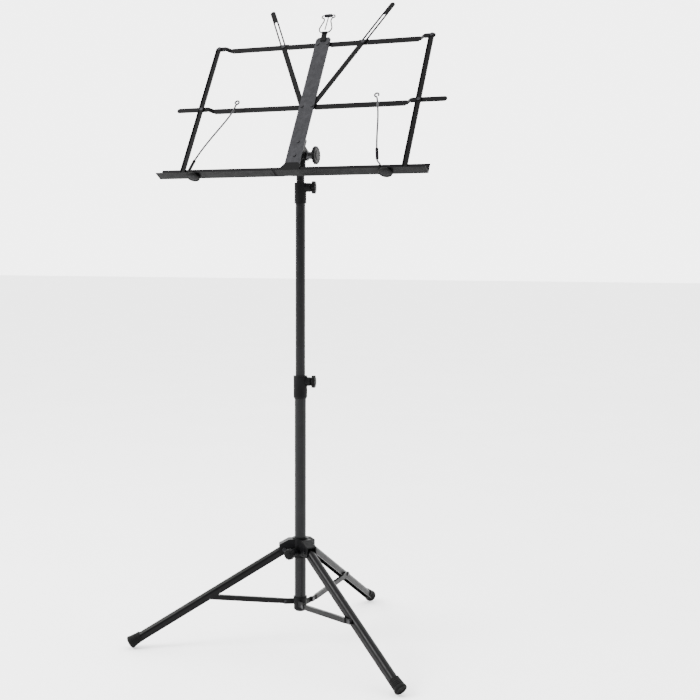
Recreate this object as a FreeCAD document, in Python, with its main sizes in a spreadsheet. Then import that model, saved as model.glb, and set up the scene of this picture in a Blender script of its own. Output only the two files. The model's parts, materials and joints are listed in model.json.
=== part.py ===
"""Folding music stand: a spider tripod, a three-stage column and a fold-up desk.

Millimetres, +Z up.  The origin lies on the floor, in the middle of the stand's
bounding box.  The reader stands on the -Y side, and the desk's width runs along X.
"""
import FreeCAD
import Part
import Sketcher
import math
import os
import re

V = FreeCAD.Vector
X_AXIS, Y_AXIS, Z_AXIS = V(1, 0, 0), V(0, 1, 0), V(0, 0, 1)

# Driving dimensions, one spreadsheet cell each.
SIZES = {
    # where the column stands, and how the stand is set
    "column_x": 10.0,
    "column_y": -63.0,
    "first_leg_azimuth": 206.0,
    "leg_slope": 31.2,
    "desk_lean": 30.5,
    # column tubes
    "tube_wall": 1.2,
    "running_clearance": 0.05,
    "slide_clearance": 0.1,
    "lower_tube_radius": 10.0,
    "lower_tube_base": 66.0,
    "lower_tube_length": 390.0,
    "middle_tube_radius": 8.5,
    "middle_tube_base": 408.0,
    "middle_tube_length": 380.0,
    "top_tube_radius": 7.0,
    "top_tube_base": 470.0,
    "top_tube_length": 370.0,
    "plug_head": 5.0,
    "plug_depth": 16.0,
    # clamp collars, their screws and knobs
    "clamp_azimuth": 14.0,
    "lower_clamp_radius": 12.0,
    "lower_clamp_base": 435.4,
    "lower_clamp_height": 39.8,
    "lower_screw_height": 465.1,
    "upper_clamp_radius": 10.3,
    "upper_clamp_base": 770.6,
    "upper_clamp_height": 34.8,
    "upper_screw_height": 797.6,
    "clamp_taper": 3.3,
    "clamp_taper_radius": 10.6,
    "boss_radius": 7.8,
    "boss_reach": 17.6,
    "screw_radius": 3.0,
    "screw_grip": 6.0,
    "knob_radius": 11.0,
    "knob_start": 17.9,
    "knob_length": 9.6,
    "scallop_count": 10,
    "scallop_radius": 2.2,
    # tripod hub and its lock screw
    "hub_base": 157.4,
    "hub_height": 34.7,
    "hub_radius": 13.5,
    "hub_pivot_reach": 28.0,
    "hub_pivot_height": 172.0,
    "hood_half_width": 9.6,
    "hood_wall": 2.0,
    "hood_reach": 37.0,
    "hood_top": 190.0,
    "hood_lip": 181.0,
    "hood_floor": 163.0,
    "hub_boss_radius": 6.5,
    "hub_boss_reach": 32.5,
    "hub_knob_radius": 9.5,
    "hub_knob_start": 32.8,
    "hub_knob_length": 12.0,
    # legs and feet
    "leg_radius": 7.3,
    "leg_wall": 1.3,
    "leg_inset": 4.0,
    "foot_radius": 11.0,
    "foot_neck_radius": 8.7,
    "foot_length": 23.0,
    "foot_floor": 4.0,
    "pin_radius": 2.0,
    "pin_head_radius": 3.6,
    "pin_head_height": 1.2,
    # base collar and braces
    "collar_base": 62.0,
    "collar_radius": 11.4,
    "collar_height": 25.0,
    "collar_ring_radius": 12.0,
    "collar_ring_height": 5.5,
    "collar_round": 3.0,
    "brace_pivot_reach": 26.0,
    "brace_pivot_height": 76.0,
    "brace_joint_reach": 165.0,
    "brace_offset": 10.25,
    "brace_width": 9.0,
    "brace_thickness": 5.0,
    "brace_end_thickness": 2.5,
    "brace_end_length": 12.0,
    "lug_wall": 2.0,
    "lug_radius": 5.0,
    # tilt joint
    "bolt_height": 851.2,
    "bolt_along_spine": 58.0,
    "bolt_behind_spine": 22.0,
    "bolt_radius": 3.0,
    "bracket_half_width": 13.0,
    "bracket_half_length": 20.0,
    "bracket_wall": 1.5,
    "ear_radius": 9.0,
    "head_radius": 9.0,
    "head_base": 820.0,
    "head_half_width": 11.2,
    "bolt_head_radius": 5.8,
    "bolt_head_height": 4.6,
    "washer_radius": 8.0,
    "washer_height": 2.0,
    "spacer_radius": 6.4,
    "spacer_height": 9.1,
    "tilt_knob_radius": 15.5,
    "tilt_knob_start": 24.4,
    "tilt_knob_length": 7.6,
    # desk: the spine and its three pairs of pivots
    "spine_half_width": 14.0,
    "spine_thickness": 1.5,
    "spine_bottom": 2.5,
    "spine_top": 294.5,
    "spine_shoulder": 4.0,
    "pivot_spread": 9.2,
    "ledge_pivot": 8.9,
    "middle_pivot": 146.0,
    "top_pivot": 281.0,
    "rivet_radius": 2.0,
    "rivet_head_radius": 3.2,
    "rivet_head_height": 1.0,
    # desk: how far each layer starts in front of the spine's face
    "sheet_metal": 1.2,
    "ledge_layer": 1.3,
    "arm_layer": 2.8,
    "bar_layer": -4.8,
    "diagonal_layer": -3.3,
    "layer_gap": 0.1,
    # desk: bars and side arms
    "bar_half_width": 4.75,
    "lip_depth": 1.8,
    "lip_setback": 6.0,
    "side_arm_place": 203.0,
    "middle_bar_end": 247.5,
    "top_bar_end": 205.0,
    "joggle_start": 182.0,
    "joggle_length": 7.0,
    "joggle_half_width": 4.0,
    "saddle_half_width": 6.0,
    "saddle_half_length": 9.0,
    # desk: ledges
    "ledge_end": 245.0,
    "shelf_depth": 20.0,
    "left_shelf_start": 22.5,
    "tab_left": -18.0,
    "tab_right": 17.5,
    "tab_top": 26.5,
    # desk: slotted diagonals
    "diagonal_length": 239.0,
    "diagonal_half_width": 4.8,
    "diagonal_thickness": 1.5,
    "slider_place": 67.0,
    "slider_head_radius": 3.6,
    "slot_half_width": 2.0,
    "slot_start": 148.8,
    "slot_end": 214.0,
    # page holders
    "holder_disc_place": 175.0,
    "holder_disc_front": 10.0,
    "holder_disc_radius": 12.0,
    "holder_disc_height": 5.0,
    "bend_swell": 0.15,
    "holder_wire_radius": 1.3,
    "holder_sleeve_radius": 2.7,
    "holder_ring_radius": 3.6,
    "left_holder_front": 9.0,
    "right_holder_front": 14.0,
    "left_foot_place": 188.0,
    "right_foot_place": 165.0,
    # clip on the head of the spine
    "tang_half_width": 5.0,
    "tang_bottom": 286.0,
    "eye_height": 304.0,
    "eye_front": 1.6,
    "eye_radius": 2.2,
    "clip_wire_radius": 0.9,
    "clip_ring_radius": 3.0,
    "clip_coil_radius": 2.2,
    "clip_cross_height": 339.8,
}

doc = FreeCAD.newDocument("music_stand")
sheet = doc.addObject("Spreadsheet::Sheet", "Sizes")
for line, (alias, number) in enumerate(SIZES.items(), start=1):
    sheet.set("A%d" % line, alias)
    sheet.set("B%d" % line, str(number))
    sheet.setAlias("B%d" % line, alias)
doc.recompute()

pieces = []


def size(alias):
    """The number in the sheet's cell."""
    return float(sheet.get(alias))


def formula(text):
    """A formula written with plain aliases, as the sheet's expressions need it."""
    return re.sub(r"[a-z][a-z_]*", lambda word: "Sizes." + word.group() if word.group() in SIZES
                  else word.group(), str(text))


def bind(item, prop, text):
    item.setExpression(prop, formula(text))


def stand_at(item, corner):
    """Bind a primitive's position to three formulas."""
    for letter, text in zip("xyz", corner):
        bind(item, "Placement.Base." + letter, text)


def box(name, sizes, corner, side=1):
    """A block from its lowest corner; side -1 mirrors it in the plane X = 0."""
    item = doc.addObject("Part::Box", name)
    for prop, text in zip(("Length", "Width", "Height"), sizes):
        bind(item, prop, text)
    if side < 0:
        corner = ("-(%s) - (%s)" % (corner[0], sizes[0]), corner[1], corner[2])
    stand_at(item, corner)
    return item


def turned(axis):
    """The rotation that stands a primitive's own +Z along the given axis."""
    return FreeCAD.Rotation(Z_AXIS, axis)


def rod(name, radius, length, start, axis=Z_AXIS, side=1):
    item = doc.addObject("Part::Cylinder", name)
    bind(item, "Radius", radius)
    bind(item, "Height", length)
    item.Placement = FreeCAD.Placement(V(), turned(axis))
    stand_at(item, start if side > 0 else ("-(%s)" % start[0], start[1], start[2]))
    return item


def cone(name, radius1, radius2, length, start, axis=Z_AXIS):
    item = doc.addObject("Part::Cone", name)
    bind(item, "Radius1", radius1)
    bind(item, "Radius2", radius2)
    bind(item, "Height", length)
    item.Placement = FreeCAD.Placement(V(), turned(axis))
    stand_at(item, start)
    return item


def fuse(name, *parts):
    item = doc.addObject("Part::MultiFuse", name)
    item.Shapes = list(parts)
    item.Refine = True
    return item


def cut(name, base, *tools):
    item = doc.addObject("Part::Cut", name)
    item.Base = base
    item.Tool = tools[0] if len(tools) == 1 else fuse(name + "_tools", *tools)
    item.Refine = True
    return item


def group(name, *parts):
    """Several separate solids in one node."""
    item = doc.addObject("Part::Compound", name)
    item.Links = list(parts)
    return item


def prism(name, plane, outline, low, depth, side=1):
    """A Body padded from a closed outline of formulas on one of its origin planes.

    On "XY" the outline is (x, y) and the pad grows along +Z; on "XZ" the outline is
    (x, z) and the pad grows along -Y from low.  side -1 mirrors X.
    """
    body = doc.addObject("PartDesign::Body", name)
    sketch = body.newObject("Sketcher::SketchObject", name + "_outline")
    role = plane + "_Plane"
    support = next(item for item in body.Origin.OriginFeatures if item.Role == role)
    sketch.AttachmentSupport = (support, [""])
    sketch.MapMode = "FlatFace"
    bind(sketch, "AttachmentOffset.Base.z", low)
    count = len(outline)
    spots = [V(side * numeric(first), numeric(second), 0) for first, second in outline]
    for index in range(count):
        sketch.addGeometry(Part.LineSegment(spots[index], spots[(index + 1) % count]), False)
    for index in range(count):
        sketch.addConstraint(Sketcher.Constraint("Coincident", index, 2, (index + 1) % count, 1))
    for index, (first, second) in enumerate(outline):
        texts = ("%d * (%s)" % (side, first), second)
        for kind, text, value in zip(("DistanceX", "DistanceY"), texts, spots[index]):
            number = sketch.addConstraint(Sketcher.Constraint(kind, -1, 1, index, 1, value))
            sketch.setExpression("Constraints[%d]" % number, formula(text))
    pad = body.newObject("PartDesign::Pad", name + "_pad")
    pad.Profile = sketch
    bind(pad, "Length", depth)
    return body


def numeric(text):
    """The value of a formula, from the sheet's numbers."""
    words = {alias: size(alias) for alias in SIZES if re.search(r"\b%s\b" % alias, str(text))}
    value = str(text)
    for alias in sorted(words, key=len, reverse=True):
        value = re.sub(r"\b%s\b" % alias, repr(words[alias]), value)
    return float(FreeCAD.Units.Quantity(value).Value)


def piece(label, item, placement):
    """Give a finished sub-part its node name and its place."""
    item.Placement = placement
    item.Label = label
    pieces.append(item)


def turn(axis, degrees, spot=None):
    return FreeCAD.Placement(spot or V(), FreeCAD.Rotation(axis, degrees))


def strut(name, radius, start, end):
    """A round wire between two points."""
    item = doc.addObject("Part::Cylinder", name)
    bind(item, "Radius", radius)
    item.Height = (end - start).Length
    item.Placement = FreeCAD.Placement(start, turned(end - start))
    return item


def wire(name, radius, spots):
    """A bent round wire: straight runs with a ball at every bend."""
    runs = []
    for index in range(len(spots) - 1):
        runs.append(strut("%s_run_%d" % (name, index), radius, spots[index], spots[index + 1]))
    for index, spot in enumerate(spots[1:-1]):
        ball = doc.addObject("Part::Sphere", "%s_bend_%d" % (name, index))
        bind(ball, "Radius", radius + " + bend_swell")
        ball.Placement.Base = spot
        runs.append(ball)
    return runs


def ring(name, radius, wire_radius, centre, axis=Z_AXIS):
    item = doc.addObject("Part::Torus", name)
    bind(item, "Radius1", radius)
    bind(item, "Radius2", wire_radius + " + bend_swell")
    item.Placement = FreeCAD.Placement(centre, turned(axis))
    return item


COLUMN = FreeCAD.Placement(V(size("column_x"), size("column_y"), 0), FreeCAD.Rotation())
CLAMP = COLUMN * turn(Z_AXIS, size("clamp_azimuth"))
TRIPOD = COLUMN * turn(Z_AXIS, size("first_leg_azimuth"))


def desk_frame():
    """The desk's own frame: X along its width, Y up the spine, Z out of its face."""
    tilt = FreeCAD.Rotation(X_AXIS, 90 - size("desk_lean"))
    bolt = V(0, size("bolt_along_spine"), -size("bolt_behind_spine"))
    base = V(size("column_x"), size("column_y"), size("bolt_height")) - tilt.multVec(bolt)
    return FreeCAD.Placement(base, tilt)


DESK = desk_frame()


# ---------------------------------------------------------------- column

def tube(label, stem):
    """A round tube on the column's axis."""
    base, length = stem + "_base", stem + "_length"
    outer = rod(label + "_outer", stem + "_radius", length, ("0", "0", base))
    bore = rod(label + "_bore", "%s_radius - tube_wall" % stem, length, ("0", "0", base))
    piece(label, cut(label + "_cut", outer, bore), COLUMN)


def tube_plug(label, stem, guide, clearance):
    """The plug in a tube's foot: a head guided by the next tube, and a spigot."""
    base = stem + "_base"
    head = rod(label + "_head", guide + "_radius - tube_wall - slide_clearance", "plug_head",
               ("0", "0", base + " - plug_head"))
    spigot = rod(label + "_spigot", "%s_radius - tube_wall - %s" % (stem, clearance),
                 "plug_depth + 1", ("0", "0", base + " - 1"))
    piece(label, fuse(label + "_fuse", head, spigot), COLUMN)


def clamp_collar(stem, tube_stem, sliding_stem, foot):
    """A collar fixed round one tube's mouth and guiding the next one, with a screw boss."""
    label = stem + "_clamp_collar"
    base, height, radius = (stem + part for part in ("_clamp_base", "_clamp_height", "_clamp_radius"))
    sleeve = rod(label + "_sleeve", radius, "%s - %s" % (height, foot),
                 ("0", "0", "%s + %s" % (base, foot)))
    parts = [sleeve]
    if foot != "0":
        parts.append(cone(label + "_foot", "clamp_taper_radius", radius, foot, ("0", "0", base)))
    parts.append(rod(label + "_boss", "boss_radius", "boss_reach", ("0", "0", stem + "_screw_height"),
                     X_AXIS))
    mouth = "(%s_base + %s_length)" % (tube_stem, tube_stem)
    socket = rod(label + "_socket", tube_stem + "_radius", "%s - %s" % (mouth, base),
                 ("0", "0", base))
    guide = rod(label + "_guide", sliding_stem + "_radius + slide_clearance", height,
                ("0", "0", base))
    screw = rod(label + "_screw_hole", "screw_radius + running_clearance", "boss_reach",
                ("0", "0", stem + "_screw_height"), X_AXIS)
    piece(label, cut(label + "_cut", fuse(label + "_fuse", *parts), socket, guide, screw), CLAMP)


def scalloped_knob(name, radius, start, length, height, bore, scallops=True):
    """A knob along +X from start, with finger scallops and a blind hole for its screw."""
    disc = rod(name + "_disc", radius, length, (start, "0", height), X_AXIS)
    tools = [rod(name + "_hole", bore, "screw_grip", (start, "0", height), X_AXIS)]
    if scallops:
        count = int(size("scallop_count"))
        for index in range(count):
            angle = 2 * math.pi * index / count
            reach = "(%s + scallop_radius * 0.6)" % radius
            spot = (start, "%.6f * %s" % (math.cos(angle), reach),
                    "%s + %.6f * %s" % (height, math.sin(angle), reach))
            tools.append(rod("%s_scallop_%d" % (name, index), "scallop_radius", length, spot,
                             X_AXIS))
    return cut(name + "_cut", disc, *tools)


def clamp_screw(stem, sliding_stem):
    """The knob and screw that press on the sliding tube."""
    height = stem + "_screw_height"
    tip = "(%s_radius + slide_clearance + 0.1)" % sliding_stem
    screw = rod(stem + "_clamp_screw_rod", "screw_radius", "knob_start + screw_grip - " + tip,
                (tip, "0", height), X_AXIS)
    piece(stem + "_clamp_screw", group(stem + "_clamp_screw_node", screw), CLAMP)
    knob = scalloped_knob(stem + "_knob", "knob_radius", "knob_start", "knob_length", height,
                          "screw_radius")
    piece(stem + "_clamp_knob", knob, CLAMP)


tube("lower_tube", "lower_tube")
tube("middle_tube", "middle_tube")
tube("top_tube", "top_tube")
tube_plug("middle_tube_plug", "middle_tube", "lower_tube", "0")
tube_plug("top_tube_plug", "top_tube", "middle_tube", "running_clearance")
clamp_collar("lower", "lower_tube", "middle_tube", "clamp_taper")
clamp_collar("upper", "middle_tube", "top_tube", "0")
clamp_screw("lower", "middle_tube")
clamp_screw("upper", "top_tube")


# ---------------------------------------------------------------- tripod

def around(name, make):
    """Three copies of a sub-part, one per leg: make(index) builds it for the first leg."""
    copies = []
    for index in range(3):
        item = make(index)
        copies.append(group("%s_at_leg_%d" % (name, index + 1), item))
        copies[-1].Placement = turn(Z_AXIS, 120.0 * index)
    return copies


def hood(index):
    outline = [("6", "hood_floor"), ("6", "hood_top"), ("20", "hood_top"),
               ("hood_reach", "hood_lip"), ("hood_reach", "hood_floor + 3"),
               ("hood_reach - 4", "hood_floor")]
    return prism("hood_%d" % index, "XZ", outline, "-hood_half_width", "2 * hood_half_width")


def hood_room(index):
    outline = [("hub_radius + 0.1", "hood_floor - 2"), ("hub_radius + 0.1", "hood_top - hood_wall"),
               ("20", "hood_top - hood_wall"), ("hood_reach + 2", "hood_lip - hood_wall - 1"),
               ("hood_reach + 2", "hood_floor - 2")]
    return prism("hood_room_%d" % index, "XZ", outline, "-(hood_half_width - hood_wall)",
                 "2 * (hood_half_width - hood_wall)")


def hood_hole(index):
    return rod("hood_hole_%d" % index, "pin_radius", "2 * hood_half_width",
               ("hub_pivot_reach", "-hood_half_width", "hub_pivot_height"), Y_AXIS)


def headed_pin(name, radius, head_radius, head_height, start, length, axis, head_ends=(True, True)):
    """A pin from start along axis, with a flat head outside either end."""
    letter = "xyz".index("x" if axis.x else "y" if axis.y else "z")
    parts = [rod(name + "_shank", radius, length, start, axis)]
    for end, wanted in enumerate(head_ends):
        spot = list(start)
        spot[letter] = "%s - %s" % (start[letter], head_height) if end == 0 else (
            "%s + %s" % (start[letter], length))
        if wanted:
            parts.append(rod("%s_head_%d" % (name, end), head_radius, head_height, spot, axis))
    return fuse(name, *parts) if len(parts) > 1 else parts[0]


def hub_pin(index):
    return headed_pin("hub_pin_%d" % index, "pin_radius", "pin_head_radius", "pin_head_height",
                      ("hub_pivot_reach", "-hood_half_width", "hub_pivot_height"),
                      "2 * hood_half_width", Y_AXIS)


def make_hub():
    sleeve = rod("hub_sleeve", "hub_radius", "hub_height", ("0", "0", "hub_base"))
    boss = rod("hub_boss_rod", "hub_boss_radius", "hub_boss_reach", ("0", "0", "0"), X_AXIS)
    boss_at = group("hub_boss", boss)
    boss_at.Placement = turn(Z_AXIS, 60, V(0, 0, size("hub_pivot_height") - 2))
    screw = rod("hub_screw_hole", "screw_radius + running_clearance", "hub_boss_reach",
                ("0", "0", "0"), X_AXIS)
    screw_at = group("hub_screw_path", screw)
    screw_at.Placement = boss_at.Placement
    bore = rod("hub_bore", "lower_tube_radius + slide_clearance", "hub_height", ("0", "0", "hub_base"))
    body = fuse("hub_body", sleeve, boss_at, *around("hood", hood))
    tools = [bore, screw_at] + around("hood_room", hood_room) + around("hood_hole", hood_hole)
    piece("tripod_hub", cut("hub_cut", body, *tools), TRIPOD)
    piece("hub_pivot_pins", group("hub_pins", *around("hub_pin", hub_pin)), TRIPOD)
    lock = TRIPOD * boss_at.Placement
    tip = "(lower_tube_radius + slide_clearance + 0.1)"
    stem = rod("hub_screw_rod", "screw_radius", "hub_knob_start + screw_grip - " + tip,
               (tip, "0", "0"), X_AXIS)
    piece("hub_screw", group("hub_screw_node", stem), lock)
    knob = scalloped_knob("hub_knob_solid", "hub_knob_radius", "hub_knob_start",
                          "hub_knob_length", "0", "screw_radius")
    piece("hub_knob", knob, lock)


def leg_blank(name, start, length):
    """The arched leg section as a solid bar along +X, its flat open side down."""
    arch = rod(name + "_arch", "leg_radius", length, (start, "0", "0"), X_AXIS)
    skirt = box(name + "_skirt", (length, "2 * leg_radius", "leg_radius"),
                (start, "-leg_radius", "-leg_radius"))
    return fuse(name, arch, skirt)


def leg_length():
    slope = math.radians(size("leg_slope"))
    return (size("hub_pivot_height") - size("foot_radius") * math.cos(slope)) / math.sin(slope)


def make_leg(index):
    reach = leg_length()
    length = "leg_inset + %.4f - foot_floor" % reach
    name = "leg_%d" % (index + 1)
    hollow = rod(name + "_hollow", "leg_radius - leg_wall", length, ("-leg_inset", "0", "0"), X_AXIS)
    opening = box(name + "_opening", (length, "2 * (leg_radius - leg_wall)", "leg_radius"),
                  ("-leg_inset", "-(leg_radius - leg_wall)", "-leg_radius"))
    hole = rod(name + "_hole", "pin_radius + running_clearance", "2 * leg_radius",
               ("0", "-leg_radius", "0"), Y_AXIS)
    channel = cut(name + "_cut", leg_blank(name + "_bar", "-leg_inset", length), hollow, opening,
                  hole)
    hinge = V(size("hub_pivot_reach"), 0, size("hub_pivot_height"))
    place = TRIPOD * turn(Z_AXIS, 120.0 * index) * turn(Y_AXIS, size("leg_slope"), hinge)
    piece(name, channel, place)
    cap = cone(name + "_cap", "foot_neck_radius", "foot_radius", "foot_length - foot_floor",
               ("%.4f - foot_length" % reach, "0", "0"), X_AXIS)
    tread = rod(name + "_tread", "foot_radius", "foot_floor", ("%.4f - foot_floor" % reach, "0", "0"),
                X_AXIS)
    socket = leg_blank(name + "_socket", "%.4f - foot_length" % reach, "foot_length - foot_floor")
    piece("foot_%d" % (index + 1),
          cut(name + "_foot_cut", fuse(name + "_foot", cap, tread), socket), place)


def lug(index):
    name = "lug_%d" % index
    corner = "-brace_offset + brace_end_thickness / 2 + layer_gap"
    plate = box(name + "_plate", ("brace_pivot_reach - 6", "lug_wall", "2 * lug_radius"),
                ("6", corner, "brace_pivot_height - lug_radius"))
    eye = rod(name + "_eye", "lug_radius", "lug_wall",
              ("brace_pivot_reach", corner, "brace_pivot_height"), Y_AXIS)
    return fuse(name, plate, eye)


def lug_hole(index):
    return rod("lug_hole_%d" % index, "pin_radius", "2 * brace_offset",
               ("brace_pivot_reach", "-1.5 * brace_offset", "brace_pivot_height"), Y_AXIS)


def brace_pin(index):
    start = "-brace_offset - brace_end_thickness / 2 - layer_gap"
    return headed_pin("brace_pin_%d" % index, "pin_radius", "pin_head_radius", "pin_head_height",
                      ("brace_pivot_reach", start, "brace_pivot_height"),
                      "brace_end_thickness + 2 * layer_gap + lug_wall", Y_AXIS, (True, False))


def make_base_collar():
    sleeve = rod("collar_sleeve", "collar_radius", "collar_height - collar_round",
                 ("0", "0", "collar_base + collar_round"))
    foot = cone("collar_foot", "collar_radius - collar_round", "collar_radius", "collar_round",
                ("0", "0", "collar_base"))
    rim = rod("collar_rim", "collar_ring_radius", "collar_ring_height",
              ("0", "0", "collar_base + collar_height - collar_ring_height"))
    socket = rod("collar_socket", "lower_tube_radius", "collar_height", ("0", "0", "lower_tube_base"))
    body = fuse("collar_body", sleeve, foot, rim, *around("lug", lug))
    piece("base_collar", cut("collar_cut", body, socket, *around("lug_hole", lug_hole)), TRIPOD)
    piece("brace_pins", group("brace_pins_node", *around("brace_pin", brace_pin)), TRIPOD)


def brace_reach():
    """The brace's length between pivots and its rise, from where it meets the leg."""
    slope = math.radians(size("leg_slope"))
    out = size("hub_pivot_reach") + size("brace_joint_reach") * math.cos(slope)
    up = size("hub_pivot_height") - size("brace_joint_reach") * math.sin(slope)
    run = V(out - size("brace_pivot_reach"), 0, up - size("brace_pivot_height"))
    return run.Length, math.degrees(math.atan2(run.z, run.x))


def make_brace(index):
    length, rise = brace_reach()
    name = "brace_%d" % (index + 1)
    side = "-brace_offset - brace_end_thickness / 2"
    bar = box(name + "_bar", ("%.4f - 2 * brace_end_length" % length, "brace_thickness", "brace_width"),
              ("brace_end_length", "-brace_offset - brace_thickness / 2", "-brace_width / 2"))
    strap = box(name + "_strap", ("%.4f" % length, "brace_end_thickness", "brace_width"),
                ("0", side, "-brace_width / 2"))
    ends = [rod("%s_end_%d" % (name, end), "brace_width / 2", "brace_end_thickness",
                (spot, side, "0"), Y_AXIS) for end, spot in enumerate(("0", "%.4f" % length))]
    holes = [rod("%s_hole_%d" % (name, end), radius, "brace_end_thickness", (spot, side, "0"), Y_AXIS)
             for end, (spot, radius) in enumerate((("0", "pin_radius + running_clearance"),
                                                   ("%.4f" % length, "pin_radius")))]
    hinge = V(size("brace_pivot_reach"), 0, size("brace_pivot_height"))
    place = TRIPOD * turn(Z_AXIS, 120.0 * index) * turn(Y_AXIS, -rise, hinge)
    piece(name, cut(name + "_cut", fuse(name + "_fuse", bar, strap, *ends), *holes), place)
    tail = "brace_offset + brace_end_thickness / 2 - leg_radius - layer_gap"
    rivet = headed_pin(name + "_rivet_solid", "pin_radius", "pin_head_radius", "pin_head_height",
                       ("%.4f" % length, side, "0"), tail, Y_AXIS, (True, False))
    piece("brace_rivet_%d" % (index + 1), rivet, place)


make_hub()
make_base_collar()
for number in range(3):
    make_leg(number)
    make_brace(number)


# ---------------------------------------------------------------- tilt joint

def make_tilt_block():
    sleeve = rod("head_sleeve", "head_radius", "bolt_height - head_base", ("0", "0", "head_base"))
    knuckle = rod("head_knuckle", "head_radius", "2 * head_half_width",
                  ("-head_half_width", "0", "bolt_height"), X_AXIS)
    socket = rod("head_socket", "top_tube_radius", "top_tube_base + top_tube_length - head_base",
                 ("0", "0", "head_base"))
    hole = rod("head_hole", "bolt_radius + running_clearance", "2 * head_half_width",
               ("-head_half_width", "0", "bolt_height"), X_AXIS)
    piece("tilt_block", cut("head_cut", fuse("head_body", sleeve, knuckle), socket, hole), COLUMN)


def make_bracket():
    back = "-spine_thickness - bracket_wall"
    base = box("bracket_base", ("2 * bracket_half_width", "2 * bracket_half_length", "bracket_wall"),
               ("-bracket_half_width", "bolt_along_spine - bracket_half_length", back))
    parts = [base]
    for side in (1, -1):
        name = "bracket_ear_%s" % ("right" if side > 0 else "left")
        inner = "bracket_half_width - bracket_wall"
        parts.append(box(name + "_root", ("bracket_wall", "2 * bracket_half_length", "5"),
                         (inner, "bolt_along_spine - bracket_half_length", back + " - 5"), side))
        parts.append(box(name + "_arm", ("bracket_wall", "2 * ear_radius",
                                         "bolt_behind_spine - spine_thickness"),
                         (inner, "bolt_along_spine - ear_radius", "-bolt_behind_spine"), side))
        eye_start = inner if side > 0 else "bracket_half_width"
        parts.append(rod(name + "_eye", "ear_radius", "bracket_wall",
                         (eye_start, "bolt_along_spine", "-bolt_behind_spine"), X_AXIS, side))
    hole = rod("bracket_hole", "bolt_radius", "2 * bracket_half_width",
               ("-bracket_half_width", "bolt_along_spine", "-bolt_behind_spine"), X_AXIS)
    holes = [rod("bracket_rivet_hole_%d" % index, "rivet_radius", "bracket_wall", ("0", spot, back))
             for index, spot in enumerate(BRACKET_RIVETS)]
    piece("tilt_bracket", cut("bracket_cut", fuse("bracket_body", *parts), hole, *holes), DESK)
    rivets = [headed_pin("bracket_rivet_%d" % index, "rivet_radius", "rivet_head_radius",
                         "rivet_head_height", ("0", spot, back), "spine_thickness + bracket_wall",
                         Z_AXIS) for index, spot in enumerate(BRACKET_RIVETS)]
    piece("bracket_rivets", group("bracket_rivets_node", *rivets), DESK)


def on_bolt(name, radius, length, start):
    return rod(name, radius, length, (start, "bolt_along_spine", "-bolt_behind_spine"), X_AXIS)


def make_bolt():
    shank = on_bolt("bolt_shank", "bolt_radius",
                    "bracket_half_width + tilt_knob_start + screw_grip - running_clearance",
                    "-bracket_half_width")
    head = on_bolt("bolt_head", "bolt_head_radius", "bolt_head_height",
                   "-bracket_half_width - bolt_head_height")
    piece("tilt_bolt", fuse("bolt_fuse", shank, head), DESK)
    rings = []
    start = "bracket_half_width"
    for stem in ("washer", "spacer"):
        disc = on_bolt(stem + "_disc", stem + "_radius", stem + "_height", start)
        hole = on_bolt(stem + "_hole", "bolt_radius", stem + "_height", start)
        rings.append(cut(stem + "_ring", disc, hole))
        start = start + " + washer_height"
    piece("tilt_washers", group("tilt_washers_node", *rings), DESK)
    knob = scalloped_knob("tilt_knob_solid", "tilt_knob_radius", "tilt_knob_start",
                          "tilt_knob_length", "0", "bolt_radius + running_clearance")
    centre = V(0, size("bolt_along_spine"), -size("bolt_behind_spine"))
    piece("tilt_knob", knob, DESK * FreeCAD.Placement(centre, FreeCAD.Rotation()))


BRACKET_RIVETS = ("bolt_along_spine - 14", "bolt_along_spine + 14")
make_tilt_block()
make_bracket()
make_bolt()


# ---------------------------------------------------------------- spine

def make_spine():
    outline = []
    for sign_x, sign_y in ((1, -1), (1, 1), (-1, 1), (-1, -1)):
        edge = "%d * spine_half_width" % sign_x
        inset = "%d * (spine_half_width - spine_shoulder)" % sign_x
        end = "spine_top" if sign_y > 0 else "spine_bottom"
        back = "%s - %d * spine_shoulder" % (end, sign_y)
        corner = [(inset, end), (edge, back)]
        outline += corner if sign_x * sign_y < 0 else corner[::-1]
    blade = prism("spine_blade", "XY", outline, "-spine_thickness", "spine_thickness")
    spots = [("0", spot) for spot in BRACKET_RIVETS]
    for side in ("", "-"):
        spots += [(side + "pivot_spread", stem + "_pivot") for stem in ("ledge", "middle", "top")]
    holes = [rod("spine_hole_%d" % index, "rivet_radius", "spine_thickness",
                 (across, along, "-spine_thickness")) for index, (across, along) in enumerate(spots)]
    piece("spine", cut("spine_cut", blade, *holes), DESK)


def spine_rivet(side, stem, low, high, heads):
    """A rivet through the spine from layer low to layer high, with a head at either end."""
    name = "rivet_%s_%s" % (stem, "right" if side > 0 else "left")
    start = ("%d * pivot_spread" % side, stem + "_pivot", low)
    shank = headed_pin(name, "rivet_radius", "rivet_head_radius", "rivet_head_height", start,
                       "%s - (%s)" % (high, low), Z_AXIS, heads)
    return shank


def make_spine_rivets():
    rivets = []
    for side in (1, -1):
        front = "(arm_layer + sheet_metal + layer_gap)" if side > 0 else "(ledge_layer + sheet_metal)"
        rivets.append(spine_rivet(side, "ledge", "-spine_thickness", front, (True, side > 0)))
        for stem in ("middle", "top"):
            rivets.append(spine_rivet(side, stem, "(bar_layer - layer_gap)", "0", (True, True)))
    piece("spine_rivets", group("spine_rivets_node", *rivets), DESK)


def make_tang():
    plate = box("tang_plate", ("2 * tang_half_width", "eye_height - tang_bottom", "1.5"),
                ("-tang_half_width", "tang_bottom", "0"))
    eye = rod("tang_eye", "eye_radius", "2 * tang_half_width",
              ("-tang_half_width", "eye_height", "eye_front"), X_AXIS)
    hole = rod("tang_hole", "clip_wire_radius + running_clearance", "2 * tang_half_width",
               ("-tang_half_width", "eye_height", "eye_front"), X_AXIS)
    piece("clip_tang", cut("tang_cut", fuse("tang_body", plate, eye), hole), DESK)


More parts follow.
